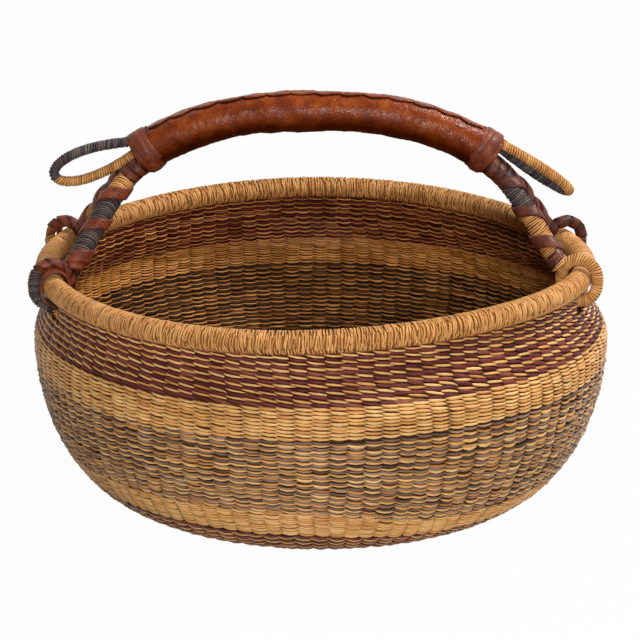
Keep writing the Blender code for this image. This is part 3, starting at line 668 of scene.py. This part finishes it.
def weave(build, face, start, end, rows, stakes, seed, cut, wild=1.0, overlap=STITCH_OVERLAP,
          dip=STITCH_DIP, arch=STITCH_BOW, slope=STITCH_LEAN, dark=1.0):
    """Stitches of twined weft on one face of the wall, between two distances down it.

    Outside they slant like the strands of a rope, and inside they sag between the stakes.
    rows is a list of (material slot, width share), and the widths fill the band.
    """
    rng = np.random.default_rng(seed)
    shares = np.array([width for _, width in rows])
    widths = shares / shares.sum() * (end - start)
    pitch = math.tau / stakes
    row, stake = np.meshgrid(np.arange(len(rows)), np.arange(stakes), indexing="ij")
    centre = (start + np.cumsum(widths) - widths / 2)[:, None] + 0 * row
    slots = np.array([slot for slot, _ in rows])[:, None] + 0 * row
    wander = ripple(rng, 4, row * 0.5, stake * 0.9) * STAKE_WANDER
    middle = (stake + wander + rng.normal(0, STAKE_SPREAD, stakes)[None, :]) * pitch
    rise = (ripple(rng, 5, row * 0.25, stake * math.tau / stakes * 3) * ROW_WAVE
            + rng.normal(0, ROW_SPREAD, row.shape)) * wild
    lean = slope * (1 + rng.normal(0, LEAN_SPREAD, row.shape) * wild)
    bow = arch + STITCH_BOW * rng.normal(0, BOW_SPREAD, row.shape) * wild
    width = widths[:, None] * (1 + rng.normal(0, WIDTH_SPREAD, row.shape) * wild)
    sunk = rng.normal(0, SINK_SPREAD, row.shape) * wild
    shade = rng.normal(0.5, SHADE_SPREAD, row.shape)
    shade = np.clip(shade + ripple(rng, 4, row * 1.7, stake * 0.12) * SHADE_WAVE, 0, 1)
    keep = ~in_window(middle, centre + rise, (overlap / 2 - HOLE_LAP) * pitch,
                      HOLE_DROP * widths.max())
    middle, centre, rise, lean, bow, width, sunk = (
        values[keep][:, None] for values in (middle, centre, rise, lean, bow, width, sunk))
    t = np.linspace(-0.5, 0.5, cut[0])
    reach = (2 * t) ** 2
    side = np.linspace(-1, 1, cut[1])
    fan = side * math.pi * STITCH_WRAP
    fall = widths.mean()
    if face == INSIDE:
        lean, bow = INSIDE_LEAN * lean, bow - arch - STITCH_SAG
    along = centre + rise + lean * fall * (0.6 * t + 1.6 * t ** 3) + bow * fall * (reach - 0.5)
    half = STITCH_HALF_HEIGHT * width * (1 - STITCH_TAPER * reach)
    deep = STITCH_THICKNESS - STITCH_PROUD + dip * reach + sunk
    along = along[..., None] + half[..., None] * np.sin(fan)
    deep = deep[..., None] - STITCH_THICKNESS * np.cos(fan)
    angle = np.broadcast_to((middle + t * overlap * pitch)[..., None], along.shape)
    if face == OUTSIDE:
        points = wall_points(along + drift(along, angle), deep, angle)
    else:
        points = wall_points(along, WALL - deep, angle)[..., ::-1, :]
    # Painted shade: the edge value, raised towards the stitch's tucked ends and scaled by dark,
    # darkens the strand in the straw materials.
    painted_tuck_shade = np.where(t < 0, PAINTED_START_SHADE, PAINTED_END_SHADE) * reach
    strand = fill_strand(points, (t * STITCH_LENGTH)[None, :, None],
                         np.maximum(np.abs(side), painted_tuck_shade[:, None]) * dark,
                         shade[keep][:, None, None])
    # The inside faces take the painted-shade copies of the straws.
    build.grid(points, slots[keep] + (0 if face == OUTSIDE else INNER_SLOTS), strand)


def backing(build, start, end):
    """The stakes' layer in the middle of the wall, which shuts out light between stitches."""
    count = max(2, math.ceil((end - start) / BACKING_HEIGHT))
    edges = np.linspace(start, end, count + 1)
    half_step = math.pi / BACKING_STEPS
    angle = np.linspace(0, math.tau, BACKING_STEPS, endpoint=False)
    for low, high in zip(edges, edges[1:]):
        shown = ~in_window(angle + half_step, (low + high) / 2 + 0 * angle, half_step,
                           (end - start) / count / 2)
        pair = np.stack([angle[shown], angle[shown] + 2 * half_step], -1)
        across = np.broadcast_to(pair[:, :, None], (len(pair), 2, 2))
        along = np.broadcast_to(np.array((low, high)), across.shape)
        points = wall_points(along, WALL / 2, across)
        # The stakes' layer is coloured with the painted-shade straw.
        build.grid(points, PAINTED_SHADE_SLOT, fill_strand(points, along, 0, across))


def plain_rows(count):
    return [(NATURAL_SLOT, 1)] * count


def striped(pairs, coloured, natural, last=1.0):
    """Coloured and natural rows by turns, a coloured row first and last, narrowing to `last`."""
    rows = [(COLOUR_SLOT, coloured), (NATURAL_SLOT, natural)] * pairs + [(COLOUR_SLOT, coloured)]
    return [(slot, width * (1 + (last - 1) * i / len(rows)))
            for i, (slot, width) in enumerate(rows)]


# For each band: its slot, finishes and stakes, its rows outside and inside, and its stitches
BAND_RECIPES = {
    "plum_band": ("plum_weave", PLUM_WEAVE, 112, striped(7, 1.32, 0.92), striped(9, 1.3, 0.9),
                  {"overlap": 1.50, "dip": 0.0019, "arch": -0.12, "slope": 1.35}),
    "upper_natural_band": ("natural_weave", NATURAL_WEAVE, 112, plain_rows(9), plain_rows(11),
                           {"overlap": 1.38, "dip": 0.0019, "arch": -0.28, "slope": 0.75}),
    "indigo_band": ("indigo_weave", INDIGO_WEAVE, 112, striped(14, 1.0, 1.05, 0.80),
                    striped(15, 1.05, 1.0),
                    {"wild": 1.8, "overlap": 1.36, "dip": 0.0021, "arch": -0.42, "slope": 0.7}),
    "lower_natural_band": ("natural_weave", NATURAL_WEAVE, 108, plain_rows(11), plain_rows(11),
                           {"wild": 1.4, "overlap": 1.40, "dip": 0.0019, "arch": -0.40,
                            "slope": 0.6}),
    # In the base band, dark 1.2 gives the stitches more painted shade at their edges.
    "base_plum_band": ("plum_weave", PLUM_WEAVE, 96, striped(5, 1.6, 0.7)[:-1],
                       striped(5, 1.6, 0.7)[:-1], {"overlap": 1.36, "arch": -0.3, "dark": 1.2}),
}


def build_bands():
    for i, (name, recipe) in enumerate(BAND_RECIPES.items()):
        slot, finishes, stakes, outer, inner, manner = recipe
        start, end = BAND_EDGES[i:i + 2]
        build = Build()
        weave(build, OUTSIDE, start, end, outer, stakes, OUTSIDE_SEED + i, OUTSIDE_CUT, **manner)
        weave(build, INSIDE, start, end, inner, stakes, INSIDE_SEED + i, INSIDE_CUT, **manner)
        backing(build, start, end)
        build.piece(name + "_weave", finishes, "basket", (name,), slot)


def build_base():
    start, end = BAND_EDGES[-1], LENGTHS[-1] - START_RADIUS
    halfway = (start + end) / 2
    flat, middle = Build(), Build()
    for face in (OUTSIDE, INSIDE):
        weave(flat, face, start, halfway, plain_rows(BASE_ROWS), BASE_OUTER_STAKES,
              BASE_OUTER_SEED, BASE_CUT)
        weave(flat, face, halfway, end, plain_rows(BASE_ROWS), BASE_INNER_STAKES,
              BASE_INNER_SEED, BASE_CUT)
        weave(middle, face, end, LENGTHS[-1] - START_HOLE, plain_rows(START_ROWS), START_STAKES,
              START_SEED, OUTSIDE_CUT)
    backing(flat, start, end)
    backing(middle, end, LENGTHS[-1])
    for build, name in ((flat, "base_natural_band"), (middle, "base_start")):
        build.piece(name + "_weave", NATURAL_WEAVE, "basket", (name,), "natural_weave")


def build_rim():
    angles = np.linspace(0, math.tau, RIM_STEPS, endpoint=False)
    heights = np.full(RIM_STEPS, RIM_HEIGHT)
    path = Path(bowl_points(RIM_RADIUS, heights, angles), (0, 0, 1), closed=True)
    build = Build()
    knit(build, path, RIM_TUBE, 0, np.random.default_rng(RIM_SEED))
    tube(build, path, RIM_TUBE - RIM_CORE_INSET, 1, step=RIM_CORE_STEP, sides=18)
    build.piece("rim_winding", (WOUND, SHADED), "basket", ("rim_wrapping", "rim_core"),
                "natural_wrap")


# Handle

def strap(build, path, start, end, turn_of, radius_of, width_of, thick, steps, wave, seed,
          sway=0.0):
    """A flat leather strap laid on a path: its turn and radius follow its distance along it."""
    rng = np.random.default_rng(seed)
    share = np.linspace(0, 1, steps)
    wobble = 1 + wave * ripple(rng, 4, share[:, None] * steps * 0.35, STRAP_ACROSS * 2.0)
    radius = radius_of(share)[:, None] + thick * STRAP_RISE * wobble
    turn = turn_of(share)[:, None] + 0 * STRAP_ACROSS
    middle = ((start + (end - start) * share)[:, None]
              + STRAP_ACROSS * width_of(share)[:, None] / 2 + sway * np.cos(turn))
    points = path.around(middle, turn, radius)[0]
    strand = fill_strand(points, share[:, None] * (end - start), STRAP_ACROSS * STRAP_SHADE, 0)
    build.grid(points, 0, strand, wrap_v=True)
    for ring, order in ((0, 1), (-1, -1)):
        cap = np.stack([points[ring], np.broadcast_to(points[ring].mean(0), points[ring].shape)])
        build.grid(cap[::order], 0, 0, wrap_v=True)


def build_grip():
    turn = np.linspace(0, math.tau, GRIP_SIDES, endpoint=False)
    aside, high = np.sin(turn), np.cos(turn)
    distance = np.linspace(0, GRIP_LENGTH, GRIP_STATIONS)
    station = distance[:, None]
    rng = np.random.default_rng(GRIP_SEED)
    swell = (ripple(rng, 5, station * 160, turn * 0) * GRIP_SWELL
             + ripple(rng, 8, station * 420, aside * 4, high * 4) * GRIP_DIMPLE
             + ripple(rng, 10, station * 1400, aside * 9, high * 9) * GRIP_PEBBLE)
    away = (turn + math.pi) % math.tau - math.pi - SEAM_LEAN
    flat = SEAM_FLAT_SHARE * np.exp(-(away / SEAM_FLAT_TURN) ** 2)
    radius = GRIP_RADIUS - GRIP_TRIM + swell * (1 - flat)
    point, _, up = grip_frames(distance)
    outward = up[:, None] * high[:, None] + BACKWARD * aside[:, None]
    points = point[:, None] + outward * radius[..., None]
    build = Build()
    # The edge value grows from the top of the grip to its underside, where the leather material
    # paints shade.
    build.grid(points, 0, fill_strand(points, 0, (1 - np.cos(turn + GRIP_PAINTED_SHADE_TURN)) / 2, 0),
               wrap_v=True)
    build.piece("grip_leather", (RED_LEATHER,), "handle", ("grip_sleeve",), "red_leather")


def build_grip_ends():
    turn = np.linspace(0, math.tau, GRIP_SIDES, endpoint=False)[:, None]
    build = Build()
    for side in (-1, 1):
        face, out, up = end_frame(side)
        rings = []
        for slope in np.linspace(0, 1, GRIP_END_RINGS) * math.pi / 2:
            reach = (GRIP_RADIUS - GRIP_END_INSET) * math.cos(slope)
            rings.append(face + out * GRIP_END_CROWN * math.sin(slope)
                         + (up * np.cos(turn) + BACKWARD * np.sin(turn)) * reach)
        build.grid(np.array(rings)[:, ::-side], 0, 0, wrap_v=True)
    build.piece("grip_ends", (BROWN_LEATHER,), "handle", ("grip_core",), "core_grass")


def build_seam():
    """The laced edge: the back sheet's pointed scallops lap over the front sheet."""
    rng = np.random.default_rng(SEAM_SEED)
    margin = COLLAR_WIDTH + GAP
    share = np.linspace(0, 1, SEAM_SCALLOPS * SEAM_STEPS + 1)[:, None]
    point, _, up = grip_frames(margin + (GRIP_LENGTH - 2 * margin) * share[:, 0])
    phase = share * SEAM_SCALLOPS % 1
    reach = np.sin(phase ** 0.7 * math.pi) ** 0.8
    edge = np.where(SEAM_ACROSS > -0.5, (reach - SEAM_LOW_SHARE) * SEAM_SCALLOP_DEPTH, 0)
    slip = SEAM_ACROSS * SEAM_HALF_WIDTH + edge + ripple(rng, 5, share * 90) * SEAM_SLIP
    lean = SEAM_LEAN - slip / GRIP_RADIUS
    lift = (GRIP_RADIUS
            + SEAM_LIFT * SEAM_HEIGHT * (SEAM_LOW_SHARE + (1 - SEAM_LOW_SHARE) * reach)
            + ripple(rng, 6, share * 260, SEAM_ACROSS * 3) * SEAM_PEBBLE)
    points = point[:, None] + (up[:, None] * np.cos(lean)[..., None]
                               + BACKWARD * np.sin(lean)[..., None]) * lift[..., None]
    build = Build()
    build.grid(points[:, SEAM_EDGE_POINT::-1], 0, 0)
    # The part past the scallops' edge, down in the crease, is coloured with painted shade.
    build.grid(points[:, :SEAM_EDGE_POINT - 1:-1], 1, 0)
    build.piece("grip_lacing", (RED_LEATHER, SEAM_PAINTED_SHADE), "handle", ("grip_seam",), "red_leather")


def build_collars():
    path = Path(grip_frames(np.linspace(0, GRIP_LENGTH, 200))[0], (0, 0, 1))
    base = GRIP_RADIUS + GAP - COLLAR_BITE
    for name, side in (("left_collar", -1), ("right_collar", 1)):
        build = Build()
        first = COLLAR_EDGE if side < 0 else GRIP_LENGTH - COLLAR_EDGE
        last = first - side * (COLLAR_WIDTH - 2 * COLLAR_EDGE)
        tube(build, path, GRIP_RADIUS + COLLAR_LINING, 0, min(first, last) - COLLAR_OVERHANG,
             max(first, last) + COLLAR_OVERHANG, sides=40)
        strap(build, path, first, last,
              lambda share: share * math.tau * COLLAR_TURNS + COLLAR_FIRST_TURN,
              lambda share: base + COLLAR_WAVE * np.sin(share * math.tau * 3),
              lambda share: COLLAR_STRAP + 0 * share, COLLAR_LEATHER, COLLAR_STEPS,
              COLLAR_CREASES, COLLAR_SEED + side, side * COLLAR_SWAY)
        build.piece(name + "_strap", (BROWN_LEATHER,), "handle", (name,), "brown_leather")


# For each leg: its name, side, front or back, its loop's finish and slot, the stretch of the
# loop under leather, and the colours of its turns
NATURAL_TURNS, GREY_TURNS, SKIN_TURNS, PLUM_TURNS, LEG_CORE = range(5)
LEGS = (
    ("left_front", -1, -1, GREY, "indigo_wrap", (0.10, 0.55),
     ((0, NATURAL_TURNS), (0.30, GREY_TURNS))),
    ("left_back", -1, 1, WOUND, "natural_wrap", (0.06, 0.42),
     ((0, GREY_TURNS), (0.45, NATURAL_TURNS))),
    ("right_front", 1, -1, WOUND, "natural_wrap", (0, 0),
     ((0, GREY_TURNS), (0.47, NATURAL_TURNS))),
    ("right_back", 1, 1, PLUM, "brown_leather", (0, 0.9), ((0, PLUM_TURNS),)),
)


def wind_leg(name, path, side, skin, colours, seed):
    """Straw wound round a leg, with turns of leather over its head and its foot."""
    build, rng = Build(), np.random.default_rng(seed)
    foot = path.length - LOOP_RADIUS * LEG_END_SHARE
    wind(build, path, LEG_RADIUS, LEG_TURN, LEG_TURN_THICKNESS, colours, rng, LEG_SKIN, foot,
         lean=side * LEG_LEAN, **LEG_MANNER)
    for start, end in ((0, LEG_SKIN + SKIN_LAP), (path.length - FOOT_SKIN, foot)):
        wind(build, path, LEG_RADIUS + SKIN_LIFT, SKIN_TURN, SKIN_THICKNESS, ((0, SKIN_TURNS),),
             rng, start, end, **SKIN_MANNER)
    # The leg's core is painted-shade straw, seen between the turns.
    tube(build, path, LEG_RADIUS - LEG_CORE_INSET, LEG_CORE, 0, foot, sides=16)
    build.piece(f"{name}_leg_winding", (WOUND, GREY, skin, PLUM, PAINTED_SHADE_STRAW), "handle",
                (f"{name}_leg",), "natural_wrap")


def wind_strip(name, path, side, front, skin, seed):
    """The leather strip wound openly down a leg, over its straw."""
    build = Build()
    first_turn = LEFT_STRIP_FIRST_TURN if side < 0 else RIGHT_STRIP_FIRST_TURN
    strap(build, path, STRIP_START + STRIP_WIDTH / 2, path.length - STRIP_END - STRIP_WIDTH / 2,
          lambda share: math.tau * (1 / 4 + side * front * (first_turn + share * STRIP_TURNS)),
          lambda share: LEG_RADIUS + STRAP_SEAT + 0 * share,
          lambda share: STRIP_WIDTH * (1 + STRIP_SWELL * np.sin(share * STRIP_SWELLS)),
          STRIP_LEATHER, STRIP_STEPS, STRIP_CREASES, seed)
    build.piece(f"{name}_leather", (skin,), "handle", (f"{name}_strip",), "brown_leather")


def wind_rim_loop(name, angle, cord, slot, skin, skin_shares, seed):
    """The cord loop that holds a leg to the rim, with leather wound over a part of it."""
    ring = Path(loop_path(angle, LOOP_HALF_WIDTH), (-math.sin(angle), math.cos(angle), 0),
                closed=True)
    build, rng = Build(), np.random.default_rng(seed)
    skin_start, skin_end = np.array(skin_shares) * ring.length
    for start, end in ((0, skin_start), (skin_end, ring.length)):
        if end - start > 2 * LOOP_RADIUS:
            wind(build, ring, LOOP_RADIUS, CORD_TURN, CORD_THICKNESS, ((0, 0),), rng, start, end,
                 lean=RING_LEAN, **CORD_MANNER)
    tube(build, ring, LOOP_RADIUS - RING_CORE_INSET, 1)
    if skin_end > skin_start:
        wind(build, ring, LOOP_RADIUS + RING_SKIN_LIFT, RING_SKIN_TURN, RING_SKIN_THICKNESS,
             ((0, 2),), rng, skin_start, skin_end, **RING_SKIN_MANNER)
    # The core seen between the cord's turns is painted shade: brownish under natural cord,
    # near-black under the rest.
    core = SHADED if cord is WOUND else PAINTED_SHADE_STRAW
    build.piece(f"{name}_loop_cord", (cord, core, skin), "handle", (f"{name}_rim_loop",), slot)


def lash(node_name, angle, seed):
    """A leather strap round the rim, crowned across, with a few creases."""
    rng = np.random.default_rng(seed)
    inner = loop_path(angle, LASHING_BORE + STRAP_SEAT)
    outward = loop_path(angle, LASHING_BORE + LASHING_LEATHER) - inner
    side = np.array((-math.sin(angle), math.cos(angle), 0))
    steps = np.arange(len(inner))[:, None]
    rise = LASH_RISE * (1 + LASH_CREASES * ripple(rng, 5, steps * 0.8, LASH_ACROSS * 3))
    aside = LASH_ACROSS * LASHING_WIDTH / 2 * (1 + 0 * steps)
    points = inner[:, None] + outward[:, None] * rise[..., None] + side * aside[..., None]
    build = Build()
    build.grid(points, 0, 0, wrap_u=True, wrap_v=True)
    build.piece(node_name + "_strap", (BROWN_LEATHER,), "handle", (node_name,), "brown_leather")


def build_legs():
    for i, (name, side, front, cord, slot, skin_shares, colours) in enumerate(LEGS):
        skin = BROWN_LEATHER if side < 0 else DARK_LEATHER
        points = leg_path(side, front)
        path = Path(points, np.cross(points[1] - points[0], BACKWARD))
        wind_leg(name, path, side, skin, colours, LEG_SEED + i)
        wind_strip(name, path, side, front, skin, STRIP_SEED + i)
        angle = loop_angle(side, front)
        wind_rim_loop(name, angle, cord, slot, skin, skin_shares, LOOP_SEED + i)
        if side < 0:
            beside = LOOP_RADIUS + 2 * GAP + LASHING_WIDTH / 2
            lash(f"{name}_lashing", angle + side * front * beside / RIM_RADIUS, LASHING_SEED + i)


def build_tails():
    """The wrapped cord loops at the grip's ends, grey for the first half and natural after it."""
    for name, tail, slot in (("left_tail_loop", LEFT_TAIL, "indigo_wrap"),
                             ("right_tail_loop", RIGHT_TAIL, "natural_wrap")):
        path = Path(tail_path(**tail), (0, 1, 0.01))
        build, rng = Build(), np.random.default_rng(TAIL_SEED + tail["side"])
        wind(build, path, TAIL_RADIUS, TAIL_TURN, CORD_THICKNESS, ((0, 0), (TAIL_GREY_SHARE, 1)),
             rng, lean=TAIL_LEAN, **CORD_MANNER)
        # The tail's core is painted-shade straw, seen between the turns.
        tube(build, path, TAIL_RADIUS - CORD_CORE_INSET, 2)
        build.piece(name + "_cord", (GREY, WOUND, PAINTED_SHADE_STRAW), "handle", (name,), slot)


# Floor, light and camera

def background_rays(tree):
    """The share that looks white: rays from the camera and rays that mirror or pass through."""
    rays = node(tree, "LightPath")
    seen = rays.outputs["Is Camera Ray"]
    for name in ("Is Glossy Ray", "Is Transmission Ray"):
        either = node(tree, "Math", operation="MAXIMUM")
        tree.links.new(seen, either.inputs[0])
        tree.links.new(rays.outputs[name], either.inputs[1])
        seen = either.outputs[0]
    return seen


def show_white(tree, lit, white, share, output):
    """Shows the lit shader, and a white one to the share of rays that sees the background."""
    blend = node(tree, "MixShader")
    tree.links.new(share, blend.inputs[0])
    tree.links.new(lit.outputs[0], blend.inputs[1])
    tree.links.new(white.outputs[0], blend.inputs[2])
    tree.links.new(blend.outputs[0], tree.nodes[output].inputs["Surface"])


def build_floor():
    made = bpy.data.materials.new("pale_floor")
    made.use_nodes = True
    tree = made.node_tree
    shader = tree.nodes["Principled BSDF"]
    shader.inputs["Base Color"].default_value = (*FLOOR_COLOUR, 1)
    shader.inputs["Roughness"].default_value = 0.9
    shader.inputs["Specular IOR Level"].default_value = 0.1
    white = node(tree, "Emission", Color=(*WHITE, 1), Strength=1.0)
    share = node(tree, "Math", operation="MULTIPLY")
    share.inputs[1].default_value = FLOOR_WHITE_SHARE
    tree.links.new(background_rays(tree), share.inputs[0])
    show_white(tree, shader, white, share.outputs[0], "Material Output")
    mesh = bpy.data.meshes.new("floor")
    mesh.from_pydata([(-FLOOR_REACH, -FLOOR_REACH, 0), (FLOOR_REACH, -FLOOR_REACH, 0),
                      (FLOOR_REACH, FLOOR_REACH, 0), (-FLOOR_REACH, FLOOR_REACH, 0)],
                     [], [(0, 1, 2, 3)])
    mesh.materials.append(made)
    floor = bpy.data.objects.new("floor", mesh)
    bpy.context.scene.collection.objects.link(floor)


def build_world():
    world = bpy.data.worlds.new("studio")
    bpy.context.scene.world = world
    world.use_nodes = True
    tree = world.node_tree
    plain = tree.nodes["Background"]
    plain.inputs["Color"].default_value = (*WORLD_COLOUR, 1)
    plain.inputs["Strength"].default_value = WORLD_STRENGTH
    white = node(tree, "Background", Color=(*WHITE, 1), Strength=1.0)
    show_white(tree, plain, white, background_rays(tree), "World Output")


def build_lamps():
    for name, place, power in LAMPS:
        light = bpy.data.lights.new(name, "AREA")
        light.shape = "SQUARE"
        light.size = LAMP_SIZE
        light.energy = power
        made = bpy.data.objects.new(name, light)
        made.location = place
        way = Vector(LAMP_TARGET) - Vector(place)
        made.rotation_euler = way.to_track_quat("-Z", "Y").to_euler()
        bpy.context.scene.collection.objects.link(made)


def build_camera():
    data = bpy.data.cameras.new("camera")
    data.sensor_width = SENSOR_WIDTH
    data.lens = SENSOR_WIDTH * FOCAL_PIXELS / PHOTO_PIXELS
    camera = bpy.data.objects.new("camera", data)
    camera.location = (0, -CAMERA_DISTANCE * math.cos(CAMERA_ELEVATION),
                       RIM_HEIGHT + CAMERA_DISTANCE * math.sin(CAMERA_ELEVATION))
    middle = PHOTO_PIXELS / 2
    down = CAMERA_ELEVATION + math.atan((middle - RIM_MIDDLE_ROW) / FOCAL_PIXELS)
    aside = math.atan((RIM_MIDDLE_COLUMN - middle) / FOCAL_PIXELS)
    camera.rotation_euler = (math.pi / 2 - down, 0, aside)
    bpy.context.scene.collection.objects.link(camera)
    bpy.context.scene.camera = camera


bpy.context.scene.view_settings.view_transform = "Standard"
build_camera()
build_floor()
build_world()
build_lamps()
build_bands()
build_base()
build_rim()
build_grip()
build_grip_ends()
build_seam()
build_collars()
build_legs()
build_tails()
